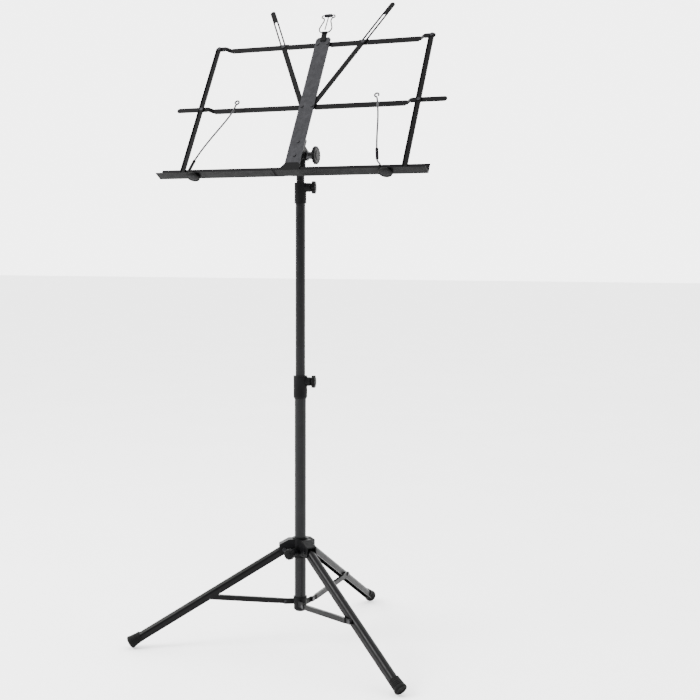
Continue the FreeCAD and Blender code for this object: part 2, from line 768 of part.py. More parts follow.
def make_clip():
    eye, front, cross = size("eye_height"), size("eye_front"), size("clip_cross_height")
    radius = "clip_wire_radius"
    ring_radius = size("clip_ring_radius")
    parts = []
    for side in (1, -1):
        spots = [V(0, eye, front), V(side * 10.5, eye, front), V(side * 12.2, eye + 4, front),
                 V(side * 10.5, eye + 12, front), V(side * 10.8, cross - ring_radius, front)]
        name = "clip_%s" % ("right" if side > 0 else "left")
        parts += wire(name, radius, spots)
        parts.append(ring(name + "_ring", "clip_ring_radius", radius,
                          V(side * 10.8, cross, front)))
    parts.append(strut("clip_cross", "0.9 * " + radius, V(-9, cross, front), V(9, cross, front)))
    parts.append(strut("clip_prong", "0.85 * " + radius, V(0, cross, front), V(0, eye + 5, front + 1.4)))
    for index in range(6):
        spot = V(-5.75 + 2.3 * index, cross + size("clip_coil_radius") + 0.2, front)
        parts.append(ring("clip_coil_%d" % index, "clip_coil_radius", radius, spot, X_AXIS))
    piece("clip_wire", fuse("clip_fuse", *parts), DESK)


make_spine()
make_spine_rivets()
make_tang()
make_clip()


# ---------------------------------------------------------------- folding halves

def side_name(side):
    return "right" if side > 0 else "left"


def disc(name, radius, depth, across, along, low, side):
    return rod(name, radius, depth, (across, along, low), Z_AXIS, side)


def make_ledge(side):
    name = side_name(side) + "_ledge"
    flange = box(name + "_flange", ("ledge_end - pivot_spread", "2 * ledge_pivot", "sheet_metal"),
                 ("pivot_spread", "0", "ledge_layer"), side)
    knuckle = disc(name + "_knuckle", "ledge_pivot", "sheet_metal", "pivot_spread", "ledge_pivot",
                   "ledge_layer", side)
    parts = [flange, knuckle]
    if side > 0:
        parts.append(box(name + "_shelf", ("ledge_end - pivot_spread", "sheet_metal",
                                           "shelf_depth - ledge_layer"),
                         ("pivot_spread", "0", "ledge_layer"), side))
        parts.append(box(name + "_shelf_tongue", ("pivot_spread - tab_left", "sheet_metal",
                                                  "shelf_depth - arm_layer"),
                         ("tab_left", "0", "arm_layer")))
        outline = [("tab_left", "0"), ("tab_right", "0"), ("tab_right", "tab_top - 4"),
                   ("tab_right - 5", "tab_top"), ("tab_left + 7", "tab_top"),
                   ("tab_left + 2.5", "tab_top - 6.5"), ("tab_left", "tab_top - 9")]
        parts.append(prism(name + "_tab", "XY", outline, "arm_layer", "sheet_metal"))
        parts.append(box(name + "_weld", ("tab_right - pivot_spread - 4", "ledge_pivot",
                                          "arm_layer - ledge_layer"),
                         ("pivot_spread + 4", "sheet_metal", "ledge_layer")))
    else:
        parts.append(box(name + "_shelf", ("ledge_end - left_shelf_start", "sheet_metal",
                                           "shelf_depth - ledge_layer"),
                         ("left_shelf_start", "0", "ledge_layer"), side))
    foot = side_name(side) + "_foot_place"
    holes = [(("pivot_spread", "rivet_radius")), (("side_arm_place", "rivet_radius")),
             ((foot, "holder_wire_radius"))]
    tools = [disc("%s_hole_%d" % (name, index), radius + " + running_clearance", "shelf_depth", spot,
                  "ledge_pivot", "0", side) for index, (spot, radius) in enumerate(holes)]
    piece(name, cut(name + "_cut", fuse(name + "_body", *parts), *tools), DESK)
    button = rod(name + "_button", "holder_disc_radius", "holder_disc_height",
                 ("holder_disc_place", "-holder_disc_height", "holder_disc_front"), Y_AXIS, side)
    piece(side_name(side) + "_holder_disc", group(name + "_button_node", button), DESK)


def make_side_arm(side):
    name = side_name(side) + "_side_arm"
    length = "top_pivot - ledge_pivot"
    parts = [box(name + "_web", ("2 * bar_half_width", length, "sheet_metal"),
                 ("side_arm_place - bar_half_width", "ledge_pivot", "arm_layer"), side)]
    for stem in ("ledge", "top"):
        parts.append(disc("%s_%s_end" % (name, stem), "bar_half_width", "sheet_metal",
                          "side_arm_place", stem + "_pivot", "arm_layer", side))
    for index, edge in enumerate(("-bar_half_width", "bar_half_width - sheet_metal")):
        parts.append(box("%s_lip_%d" % (name, index), ("sheet_metal", length, "lip_depth"),
                         ("side_arm_place + " + edge, "ledge_pivot", "arm_layer + sheet_metal - 0.2"),
                         side))
    holes = [disc("%s_%s_hole" % (name, stem), "rivet_radius", "sheet_metal", "side_arm_place",
                  stem + "_pivot", "arm_layer", side) for stem in ("ledge", "middle", "top")]
    piece(name, cut(name + "_cut", fuse(name + "_body", *parts), *holes), DESK)
    rivets = []
    for stem in ("ledge", "middle", "top"):
        start = ("%d * side_arm_place" % side, stem + "_pivot", "ledge_layer - layer_gap")
        rivets.append(headed_pin("%s_%s_rivet" % (name, stem), "rivet_radius", "rivet_head_radius",
                                 "rivet_head_height", start,
                                 "arm_layer + sheet_metal - ledge_layer + layer_gap", Z_AXIS))
    piece(side_name(side) + "_arm_rivets", group(name + "_rivets_node", *rivets), DESK)


def joggle(name, pivot, side):
    """The short slanted step that carries a bar from behind the spine to the arm's back."""
    begin, finish = "joggle_start", "joggle_start + joggle_length"
    outline = [(begin + " - 3", "bar_layer"), (begin, "bar_layer"), (finish, "ledge_layer"),
               (finish + " + 3", "ledge_layer"), (finish + " + 3", "ledge_layer + sheet_metal"),
               (finish + " - 1", "ledge_layer + sheet_metal"),
               (begin + " - 1", "bar_layer + sheet_metal"),
               (begin + " - 3", "bar_layer + sheet_metal")]
    return prism(name, "XZ", outline, "-(%s) - joggle_half_width" % pivot, "2 * joggle_half_width",
                 side)


def make_bar(side, stem):
    name = "%s_%s_bar" % (side_name(side), stem)
    pivot = stem + "_pivot"
    low = pivot + " - bar_half_width"
    parts = [disc(name + "_end", "bar_half_width", "sheet_metal", "pivot_spread", pivot, "bar_layer",
                  side)]
    parts.append(box(name + "_web", ("joggle_start - 2 - pivot_spread", "2 * bar_half_width",
                                     "sheet_metal"), ("pivot_spread", low, "bar_layer"), side))
    gaps = [("pivot_spread + lip_setback", "joggle_start - 4")]
    if stem == "top":
        middle = "(pivot_spread + slider_place)"
        gaps = [("pivot_spread + lip_setback", middle + " - saddle_half_length"),
                (middle + " + saddle_half_length", "joggle_start - 4")]
        parts.append(box(name + "_saddle", ("2 * saddle_half_length", "2 * saddle_half_width",
                                            "sheet_metal"),
                         (middle + " - saddle_half_length", "top_pivot - saddle_half_width",
                          "bar_layer"), side))
    for index, (begin, finish) in enumerate(gaps):
        for edge, spot in (("lower", low), ("upper", pivot + " + bar_half_width - sheet_metal")):
            parts.append(box("%s_%s_lip_%d" % (name, edge, index),
                             ("%s - (%s)" % (finish, begin), "sheet_metal", "lip_depth"),
                             (begin, spot, "bar_layer - lip_depth + 0.2"), side))
    parts.append(joggle(name + "_joggle", pivot, side))
    tongue = "joggle_start + joggle_length + 1"
    parts.append(box(name + "_tongue", ("%s_bar_end - (%s)" % (stem, tongue), "2 * bar_half_width",
                                        "sheet_metal"), (tongue, low, "ledge_layer"), side))
    parts.append(disc(name + "_tip", "bar_half_width", "sheet_metal", stem + "_bar_end", pivot,
                      "ledge_layer", side))
    holes = [disc(name + "_inner_hole", "rivet_radius + running_clearance", "sheet_metal",
                  "pivot_spread", pivot, "bar_layer", side),
             disc(name + "_outer_hole", "rivet_radius + running_clearance", "sheet_metal",
                  "side_arm_place", pivot, "ledge_layer", side)]
    piece(name, cut(name + "_cut", fuse(name + "_body", *parts), *holes), DESK)


def make_diagonal(side):
    name = side_name(side) + "_diagonal"
    splay = math.degrees(math.atan2(size("slider_place"), size("top_pivot") - size("middle_pivot")))
    strap = box(name + "_strap", ("2 * diagonal_half_width", "diagonal_length", "diagonal_thickness"),
                ("-diagonal_half_width", "0", "diagonal_layer"))
    ends = [rod("%s_end_%d" % (name, index), "diagonal_half_width", "diagonal_thickness",
                ("0", spot, "diagonal_layer")) for index, spot in enumerate(("0", "diagonal_length"))]
    hole = rod(name + "_hole", "rivet_radius + running_clearance", "diagonal_thickness",
               ("0", "0", "diagonal_layer"))
    slot = [box(name + "_slot", ("2 * slot_half_width", "slot_end - slot_start",
                                 "diagonal_thickness"),
                ("-slot_half_width", "slot_start", "diagonal_layer"))]
    slot += [rod("%s_slot_end_%d" % (name, index), "slot_half_width", "diagonal_thickness",
                 ("0", spot, "diagonal_layer")) for index, spot in enumerate(("slot_start",
                                                                              "slot_end"))]
    hinge = V(side * size("pivot_spread"), size("middle_pivot"), 0)
    piece(name, cut(name + "_cut", fuse(name + "_body", strap, *ends), hole, *slot),
          DESK * turn(Z_AXIS, -side * splay, hinge))
    start = ("%d * (pivot_spread + slider_place)" % side, "top_pivot",
             "bar_layer + sheet_metal + layer_gap")
    rivet = headed_pin(name + "_slider", "slot_half_width - running_clearance", "slider_head_radius",
                       "rivet_head_height", start,
                       "diagonal_layer + diagonal_thickness - bar_layer - sheet_metal", Z_AXIS,
                       (False, True))
    piece(side_name(side) + "_slot_rivet", rivet, DESK)


LEFT_WIRE = ((-182, 34), (-178, 44), (-134, 135), (-131, 149))
RIGHT_WIRE = ((158.5, 18.5), (152.6, 44), (138, 128), (132, 147))


def make_holder(side):
    """A page holder: a sprung wire in the ledge's flange with a soft sleeve at its foot."""
    name = side_name(side) + "_holder"
    front = size(name + "_front")
    foot = side * size(side_name(side) + "_foot_place")
    level = size("ledge_pivot")
    bends = [V(across, along, front) for across, along in (RIGHT_WIRE if side > 0 else LEFT_WIRE)]
    spots = [V(foot, level, size("ledge_layer") - 0.3), V(foot, level, front)] + bends
    parts = wire(name + "_wire", "holder_wire_radius", spots)
    keeper = rod(name + "_keeper", "holder_wire_radius + 1", "1",
                 ("%.4f" % foot, "ledge_pivot", "ledge_layer - layer_gap - 1"))
    eye = ring(name + "_ring", "holder_ring_radius", "holder_wire_radius",
               bends[-1] + V(0, size("holder_ring_radius"), 0))
    piece(name + "_wire", fuse(name + "_body", keeper, eye, *parts), DESK)
    begin, finish = (spots[1], spots[2]) if side < 0 else (bends[0], bends[1])
    run = (finish - begin).normalize()
    begin = begin + run * 2.6
    skin = strut(name + "_skin", "holder_sleeve_radius", begin, begin + run * 22)
    core = strut(name + "_core", "holder_wire_radius", begin, begin + run * 22)
    piece(name + "_sleeve", cut(name + "_sleeve_cut", skin, core), DESK)


for hand in (1, -1):
    make_ledge(hand)
    make_side_arm(hand)
    make_bar(hand, "middle")
    make_bar(hand, "top")
    make_diagonal(hand)
    make_holder(hand)


# ---------------------------------------------------------------- files

doc.recompute()
for item in doc.Objects:
    if "Invalid" in item.State or "Error" in item.State:
        raise RuntimeError("%s did not recompute" % item.Label)
os.makedirs("parts", exist_ok=True)
for item in pieces:
    if item.Shape.isNull() or not item.Shape.isValid():
        raise RuntimeError("%s has no valid shape" % item.Label)
    item.Shape.exportStep("parts/%s.step" % item.Label)
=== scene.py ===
"""The looks of the folding music stand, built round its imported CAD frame."""

import json
import math

import bmesh
import bpy
from mathutils import Matrix, Vector


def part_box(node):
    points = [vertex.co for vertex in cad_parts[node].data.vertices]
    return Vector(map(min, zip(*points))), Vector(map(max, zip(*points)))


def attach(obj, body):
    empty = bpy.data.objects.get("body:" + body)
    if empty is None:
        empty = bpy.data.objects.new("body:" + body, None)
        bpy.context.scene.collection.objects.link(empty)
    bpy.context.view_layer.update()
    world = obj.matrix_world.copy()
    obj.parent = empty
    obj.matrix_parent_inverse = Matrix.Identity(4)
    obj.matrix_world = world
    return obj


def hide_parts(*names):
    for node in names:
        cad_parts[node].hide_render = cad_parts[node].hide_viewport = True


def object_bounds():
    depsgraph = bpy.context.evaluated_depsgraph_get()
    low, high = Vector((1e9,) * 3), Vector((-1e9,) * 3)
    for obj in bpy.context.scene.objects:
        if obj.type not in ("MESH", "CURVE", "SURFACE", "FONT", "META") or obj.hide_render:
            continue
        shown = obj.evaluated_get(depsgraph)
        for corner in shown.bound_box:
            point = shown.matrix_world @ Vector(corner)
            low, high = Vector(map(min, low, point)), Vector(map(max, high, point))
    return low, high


MM = 0.001
UP = Vector((0, 0, 1))
SIDES = ("left", "right")
LEGS = (1, 2, 3)

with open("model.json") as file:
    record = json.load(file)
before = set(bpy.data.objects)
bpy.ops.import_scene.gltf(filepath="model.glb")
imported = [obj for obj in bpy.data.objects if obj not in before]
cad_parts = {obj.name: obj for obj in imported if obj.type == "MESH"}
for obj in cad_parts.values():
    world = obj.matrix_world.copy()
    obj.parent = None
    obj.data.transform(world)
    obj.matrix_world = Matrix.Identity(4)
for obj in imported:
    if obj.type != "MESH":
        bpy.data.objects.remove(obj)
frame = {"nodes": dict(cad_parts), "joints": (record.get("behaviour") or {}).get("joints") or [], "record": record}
cad_low, cad_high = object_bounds()
joints = {joint["name"]: joint for joint in frame["joints"]}


def joint_line(name):
    """A joint's place and the unit vector of its axis."""
    joint = joints[name]
    return Vector(joint["pos_m"]), Vector(joint["axis"]).normalized()


# ---------------------------------------------------------------- the desk's own frame

LEDGE_PIVOT = 8.9        # up the spine, mm
PIVOT_SPREAD = 9.2       # from the spine's middle line, mm
ledge_hinge, desk_normal = joint_line("right_fold")
middle_hinge = joint_line("right_middle_turn")[0]
desk_up = (middle_hinge - ledge_hinge).normalized()
desk_across = desk_up.cross(desk_normal).normalized()
desk_origin = ledge_hinge - PIVOT_SPREAD * MM * desk_across - LEDGE_PIVOT * MM * desk_up


def on_desk(across, along, front):
    """A point of the desk: millimetres across it, up the spine and out of its face."""
    return desk_origin + MM * (across * desk_across + along * desk_up + front * desk_normal)


# ---------------------------------------------------------------- materials

COAT_ROUGHNESS = 0.12
NOISE_LOW, NOISE_HIGH = 0.3, 0.7          # the part of a noise that a range is spread over
MOTTLE_LOW, MOTTLE_HIGH = 0.35, 0.68      # the part of a noise that two colours meet over


def new_material(name, colour, roughness, metallic=0.0, coat=0.0, specular=0.5):
    """A Principled material with the values that are the same all over it."""
    material = bpy.data.materials.new(name)
    material.use_nodes = True
    shader = material.node_tree.nodes["Principled BSDF"]
    shader.inputs["Base Color"].default_value = (*colour, 1)
    shader.inputs["Roughness"].default_value = roughness
    shader.inputs["Metallic"].default_value = metallic
    shader.inputs["Coat Weight"].default_value = coat
    shader.inputs["Coat Roughness"].default_value = COAT_ROUGHNESS
    shader.inputs["Specular IOR Level"].default_value = specular
    return material, shader


def noise(material, scale, detail=3.0, stretch=(1, 1, 1)):
    """A noise texture in object space, in cycles per metre."""
    tree = material.node_tree
    place = tree.nodes.new("ShaderNodeTexCoord")
    mapping = tree.nodes.new("ShaderNodeMapping")
    mapping.inputs["Scale"].default_value = stretch
    texture = tree.nodes.new("ShaderNodeTexNoise")
    texture.inputs["Scale"].default_value = scale
    texture.inputs["Detail"].default_value = detail
    tree.links.new(place.outputs["Object"], mapping.inputs["Vector"])
    tree.links.new(mapping.outputs["Vector"], texture.inputs["Vector"])
    return texture.outputs["Fac"]


def spread(material, source, socket, low, high):
    """Carry a noise to a shader socket, as a range of numbers."""
    tree = material.node_tree
    ramp = tree.nodes.new("ShaderNodeMapRange")
    ramp.inputs["From Min"].default_value = NOISE_LOW
    ramp.inputs["From Max"].default_value = NOISE_HIGH
    ramp.inputs["To Min"].default_value = low
    ramp.inputs["To Max"].default_value = high
    tree.links.new(source, ramp.inputs["Value"])
    tree.links.new(ramp.outputs["Result"], socket)


def mottle(material, source, shader, dark, light):
    """Carry a noise to the base colour, between two colours."""
    tree = material.node_tree
    ramp = tree.nodes.new("ShaderNodeValToRGB")
    ramp.color_ramp.elements[0].position = MOTTLE_LOW
    ramp.color_ramp.elements[0].color = (*dark, 1)
    ramp.color_ramp.elements[1].position = MOTTLE_HIGH
    ramp.color_ramp.elements[1].color = (*light, 1)
    tree.links.new(source, ramp.inputs["Fac"])
    tree.links.new(ramp.outputs["Color"], shader.inputs["Base Color"])


def emboss(material, source, shader, strength, distance):
    """Carry a noise to the surface as a fine relief."""
    tree = material.node_tree
    bump = tree.nodes.new("ShaderNodeBump")
    bump.inputs["Strength"].default_value = strength
    bump.inputs["Distance"].default_value = distance
    tree.links.new(source, bump.inputs["Height"])
    tree.links.new(bump.outputs["Normal"], shader.inputs["Normal"])


def enamel(name, base, roughness, coat, specular):
    """Stoved black enamel: a faint orange peel, duller in some places than in others."""
    material, shader = new_material(name, base, roughness, coat=coat, specular=specular)
    mottle(material, noise(material, 28), shader, [0.8 * part for part in base],
           [1.25 * part for part in base])
    spread(material, noise(material, 90, 5), shader.inputs["Roughness"], roughness - 0.07,
           roughness + 0.12)
    emboss(material, noise(material, 900, 2), shader, 0.12, 0.0002)
    return material


def moulded(name, base, roughness, grain):
    """Moulded plastic or rubber with a fine spark-eroded grain."""
    material, shader = new_material(name, base, roughness, specular=0.06)
    mottle(material, noise(material, 45), shader, [0.75 * part for part in base],
           [1.4 * part for part in base])
    spread(material, noise(material, 160, 4), shader.inputs["Roughness"], roughness - 0.08,
           roughness + 0.1)
    emboss(material, noise(material, 2600, 2), shader, grain, 0.0003)
    return material


def plated(name, base, roughness):
    """Plated steel with fine drawn lines and slight staining."""
    material, shader = new_material(name, base, roughness, metallic=1.0)
    mottle(material, noise(material, 120), shader, [0.72 * part for part in base], base)
    spread(material, noise(material, 500, 3, (1, 1, 0.15)), shader.inputs["Roughness"],
           roughness - 0.08, roughness + 0.14)
    emboss(material, noise(material, 3200, 2, (1, 1, 0.1)), shader, 0.08, 0.0001)
    return material


MATERIALS = {
    "tube_enamel": enamel("tube_enamel", (0.0025, 0.0025, 0.003), 0.3, 0.06, 0.1),
    "bar_enamel": enamel("bar_enamel", (0.001, 0.001, 0.0012), 0.42, 0.0, 0.05),
    "leg_enamel": enamel("leg_enamel", (0.001, 0.001, 0.0012), 0.32, 0.02, 0.07),
    "black_plastic": moulded("black_plastic", (0.002, 0.002, 0.0023), 0.48, 0.2),
    "knob_plastic": moulded("knob_plastic", (0.001, 0.001, 0.0012), 0.42, 0.15),
    "black_rubber": moulded("black_rubber", (0.003, 0.003, 0.003), 0.62, 0.35),
    "grey_pad": moulded("grey_pad", (0.0025, 0.0025, 0.003), 0.5, 0.2),
    "zinc_steel": plated("zinc_steel", (0.06, 0.06, 0.063), 0.34),
    "black_rivet": plated("black_rivet", (0.022, 0.022, 0.024), 0.36),
    "bright_wire": plated("bright_wire", (0.04, 0.04, 0.042), 0.3),
    "clip_wire": plated("clip_wire", (0.02, 0.02, 0.022), 0.34),
}

SLOT_LOOKS = {"black_steel": "bar_enamel", "black_plastic": "black_plastic",
              "black_rubber": "black_rubber", "zinc_steel": "zinc_steel",
              "black_rivet": "black_rivet", "bright_wire": "bright_wire"}
OWN_LOOKS = {"lower_tube": "tube_enamel", "middle_tube": "tube_enamel", "top_tube": "tube_enamel",
             "spine": "black_rivet"}


def paint(item, look):
    """Give an object one material, in place of any it has."""
    item.data.materials.clear()
    item.data.materials.append(MATERIALS[look])


EDGE_WIDTH = 0.25 * MM
EDGE_SEGMENTS = 2
EDGE_ANGLE = math.radians(40)


def soften(item):
    """Round an object's sharp edges."""
    bevel = item.modifiers.new("edge", "BEVEL")
    bevel.width = EDGE_WIDTH
    bevel.segments = EDGE_SEGMENTS
    bevel.limit_method = "ANGLE"
    bevel.angle_limit = EDGE_ANGLE


def cad_look(node, slot_name):
    """The material of a CAD node."""
    if node.endswith("_pins") or "rivet" in node:
        return "black_rivet"
    if node.startswith(("leg_", "brace_")):
        return "leg_enamel"
    return OWN_LOOKS.get(node, SLOT_LOOKS[slot_name])


def dress_cad_nodes():
    """Give every CAD node its material and its rounded edges."""
    for part in frame["record"]["subparts"]:
        paint(frame["nodes"][part["node"]], cad_look(part["node"], part["material_slot"]))
    for item in frame["nodes"].values():
        soften(item)


# ---------------------------------------------------------------- mesh pieces

MERGE_DISTANCE = 1e-7
SMOOTH_ANGLE = math.radians(35)


def add_piece(name, mesh, look, body):
    """Put a mesh in the scene as a piece of one body."""
    item = bpy.data.objects.new(name, mesh)
    bpy.context.scene.collection.objects.link(item)
    paint(item, look)
    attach(item, body)
    return item


def make_object(name, verts, faces, look, body):
    """A piece from vertices and faces, smooth but for its sharp edges."""
    mesh = bpy.data.meshes.new(name)
    mesh.from_pydata([tuple(vert) for vert in verts], [], faces)
    mesh.validate()
    form = bmesh.new()
    form.from_mesh(mesh)
    bmesh.ops.remove_doubles(form, verts=form.verts, dist=MERGE_DISTANCE)
    bmesh.ops.recalc_face_normals(form, faces=form.faces)
    for edge in form.edges:
        edge.smooth = len(edge.link_faces) == 2 and edge.calc_face_angle(0) < SMOOTH_ANGLE
    for face in form.faces:
        face.smooth = True
    form.to_mesh(mesh)
    form.free()
    return add_piece(name, mesh, look, body)


def cross_pair(axis):
    """Two unit vectors square to an axis and to each other."""
    first = axis.cross(UP if abs(axis.z) < 0.9 else Vector((1, 0, 0))).normalized()
    return first, axis.cross(first)


def lathe(name, origin, axis, profile, look, body, rim=None, steps=72):
    """Turn stations (distance along, radius) in metres round an axis.

    rim(angle, radius), if given, says how far out a station reaches at an angle.
    """
    first, second = cross_pair(axis)
    rim = rim or (lambda angle, radius: radius)
    verts = []
    for along, radius in profile:
        for step in range(steps):
            angle = 2 * math.pi * step / steps
            reach = rim(angle, radius)
            verts.append(origin + along * axis
                         + reach * (math.cos(angle) * first + math.sin(angle) * second))
    faces = []
    for row in range(len(profile) - 1):
        for step in range(steps):
            after = (step + 1) % steps
            faces.append((row * steps + step, row * steps + after, (row + 1) * steps + after,
                          (row + 1) * steps + step))
    last = (len(profile) - 1) * steps
    faces.append(tuple(range(steps - 1, -1, -1)))
    faces.append(tuple(last + step for step in range(steps)))
    return make_object(name, verts, faces, look, body)


def rounded(profile, radius, steps=4):
    """Round a profile's inner corners with short arcs."""
    points = [Vector(spot) for spot in profile]
    out = [points[0]]
    for before, corner, after in zip(points, points[1:], points[2:]):
        inward, outward = before - corner, after - corner
        trim = min(radius, inward.length * 0.45, outward.length * 0.45)
        start = corner + inward.normalized() * trim
        end = corner + outward.normalized() * trim
        for step in range(steps + 1):
            share = step / steps
            out.append((1 - share) ** 2 * start + 2 * share * (1 - share) * corner
                       + share ** 2 * end)
    out.append(points[-1])
    return [tuple(spot) for spot in out]


def extent(node, origin, axis):
    """How far a CAD node reaches along a line, from and to, and out from it."""
    spots = [vert.co - origin for vert in frame["nodes"][node].data.vertices]
    along = [spot.dot(axis) for spot in spots]
    away = max((spot - spot.dot(axis) * axis).length for spot in spots)
    return min(along), max(along), away


KNOB_HUB = 4.5 * MM
KNOB_STEPS = 180
PLAIN_RADIUS = 5 * MM    # a knob is round inside this, and scalloped outside it
KNOBS = (("lower_clamp_knob", "lower_knob_turn", "lower_lock", 10, 0.1),
         ("upper_clamp_knob", "upper_knob_turn", "upper_lock", 10, 0.1),
         ("hub_knob", "hub_knob_turn", "hub_lock", 12, 0.06),
         ("tilt_knob", "tilt_knob_turn", "tilt_lock", 14, 0.06))


def scallops(count, depth):
    """A knob's rim: round lobes with finger hollows between them."""
    def rim(angle, radius):
        wave = 0.5 + 0.5 * math.cos(count * angle)
        return radius * (1 - depth * (1 - wave) ** 2) if radius > PLAIN_RADIUS else radius
    return rim


def knob(node, joint, body, count, depth):
    """A moulded knob with a raised hub, a stepped face and a scalloped rim."""
    origin, axis = joint_line(joint)
    low, high, radius = extent(node, origin, axis)
    depth_along = high - low
    profile = [(low, KNOB_HUB), (low, 0.62 * radius), (low + 0.16 * depth_along, 0.7 * radius),
               (low + 0.24 * depth_along, radius), (low + 0.82 * depth_along, radius),
               (high - 0.06 * depth_along, 0.82 * radius),
               (high - 0.12 * depth_along, 0.6 * radius), (high, 0.5 * radius), (high, 2 * MM)]
    item = lathe(node + "_moulding", origin, axis, rounded(profile, 1.1 * MM), "knob_plastic", body,
                 scallops(count, depth), KNOB_STEPS)
    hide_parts(node)


FOOT_NECK = 8.7 * MM
FOOT_RINGS = 4
FOOT_RING_PITCH = 3.2
TREAD_DEPTH = 1.5 * MM
AXIS_PASSES = 4


def leg_axis(number):
    """A leg's hinge and the way from it to the middle of its foot's tread."""
    hinge = joint_line("leg_%d_fold" % number)[0]
    spots = [vert.co for vert in frame["nodes"]["foot_%d" % number].data.vertices]
    way = (sum(spots, Vector()) / len(spots) - hinge).normalized()
    for _ in range(AXIS_PASSES):
        reach = max((spot - hinge).dot(way) for spot in spots)
        tread = [spot for spot in spots if (spot - hinge).dot(way) > reach - TREAD_DEPTH]
        middle = Vector([0.5 * (min(spot[i] for spot in tread) + max(spot[i] for spot in tread))
                         for i in range(3)])
        way = (middle - hinge).normalized()
    return hinge, way


def rubber_foot(number):
    """A flared rubber cap with a rolled mouth, grip rings and a rounded tread."""
    node = "foot_%d" % number
    hinge, way = leg_axis(number)
    low, high, radius = extent(node, hinge, way)
    neck = FOOT_NECK
    lip = neck + 0.5 * MM
    profile = [(low + 0.5 * MM, 7.2 * MM), (low, neck - 0.3 * MM), (low + 0.6 * MM, lip),
               (low + 2.2 * MM, lip), (low + 2.8 * MM, neck)]
    for ring in range(FOOT_RINGS):
        start = low + (5.5 + FOOT_RING_PITCH * ring) * MM
        flare = neck + (radius - neck) * (start - low) / (high - low)
        profile += [(start, flare), (start + 0.5 * MM, flare - 0.5 * MM),
                    (start + 1.1 * MM, flare - 0.5 * MM), (start + 1.6 * MM, flare + 0.2 * MM)]
    profile += [(high - 3.4 * MM, radius), (high - 1.0 * MM, radius), (high, radius - 1.4 * MM),
                (high, radius - 4 * MM), (high - 1.2 * MM, radius - 5 * MM),
                (high - 1.2 * MM, 1 * MM)]
    item = lathe(node + "_cap", hinge, way, rounded(profile, 0.5 * MM, 2), "black_rubber",
                 "leg_%d_body" % number)
    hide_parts(node)


def round_wire(name, spots, radius, look, body):
    """A drawn wire that runs smoothly through its points, capped at both ends."""
    curve = bpy.data.curves.new(name, "CURVE")
    curve.dimensions = "3D"
    curve.bevel_depth = radius
    curve.bevel_resolution = 5
    curve.use_fill_caps = True
    curve.resolution_u = 8
    spline = curve.splines.new("BEZIER")
    spline.bezier_points.add(len(spots) - 1)
    for point, spot in zip(spline.bezier_points, spots):
        point.co = spot
        point.handle_left_type = "AUTO"
        point.handle_right_type = "AUTO"
    holder = bpy.data.objects.new(name + "_curve", curve)
    bpy.context.scene.collection.objects.link(holder)
    bpy.context.view_layer.update()
    mesh = bpy.data.meshes.new_from_object(holder.evaluated_get(
        bpy.context.evaluated_depsgraph_get()))
    bpy.data.objects.remove(holder)
    mesh.name = name
    for polygon in mesh.polygons:
        polygon.use_smooth = True
    return add_piece(name, mesh, look, body)


LOOP_STEPS = 10


def loop_points(centre, radius, start, turn, front):
    """Points round an open loop on the desk, in its own millimetres and in degrees."""
    spots = []
    for step in range(LOOP_STEPS + 1):
        angle = math.radians(start + turn * step / LOOP_STEPS)
        spots.append(on_desk(centre[0] + radius * math.cos(angle),
                             centre[1] + radius * math.sin(angle), front))
    return spots


HOLDER_WIRE = 1.5 * MM
HOLDER_EYE = 3.6
SLEEVE_BORE = 1.35 * MM
SLEEVE_RINGS = 5
SLEEVE_STEPS = 40
HOLDERS = (("left", 9, -188, [(-182, 34), (-134, 135), (-131, 149)],
            ((-188, LEDGE_PIVOT), (-182, 34))),
           ("right", 14, 165, [(158.5, 18.5), (152.6, 44), (138, 128), (132, 147)],
            ((158.5, 18.5), (152.6, 44))))


def page_holder(side, front, foot, bends, sleeve_span):
    """A sprung page-holder wire with an eye at its tip and a soft sleeve near its foot.

    front is how far it stands off the desk, foot is where it leaves the ledge, and bends and
    sleeve_span are points (across, along), all in millimetres.
    """
    body = side + "_holder"
    tail = [on_desk(foot, LEDGE_PIVOT, 1.2), on_desk(foot, LEDGE_PIVOT, front - 3),
            on_desk(foot + (bends[0][0] - foot) * 0.12, LEDGE_PIVOT + 2.2, front)]
    stem = [on_desk(across, along, front) for across, along in bends]
    tip = bends[-1]
    turn = 300 if side == "left" else -300
    eye = loop_points((tip[0], tip[1] + HOLDER_EYE), HOLDER_EYE, -90, turn, front)
    item = round_wire(side + "_holder_spring", tail + stem + eye[1:], HOLDER_WIRE, "bright_wire",
                      body)
    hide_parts(side + "_holder_wire")
    start, end = (Vector(spot) for spot in sleeve_span)
    way = (on_desk(end.x, end.y, front) - on_desk(start.x, start.y, front)).normalized()
    origin = on_desk(start.x, start.y, front)
    node = side + "_holder_sleeve"
    low, high, radius = extent(node, origin, way)
    profile = [(low, SLEEVE_BORE), (low, 0.8 * radius), (low + 1.2 * MM, radius)]
    for ring in range(SLEEVE_RINGS):
        at = low + (3.4 + 3.2 * ring) * MM
        profile += [(at, radius), (at + 0.5 * MM, 0.86 * radius), (at + 1.0 * MM, 0.86 * radius),
                    (at + 1.5 * MM, radius)]
    profile += [(high - 1.0 * MM, radius), (high, 0.8 * radius), (high, SLEEVE_BORE)]
    sleeve = lathe(side + "_holder_grip", origin, way, rounded(profile, 0.3 * MM, 2),
                   "black_rubber", body, steps=SLEEVE_STEPS)
    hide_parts(node)


BUTTON_RADIUS = 12 * MM


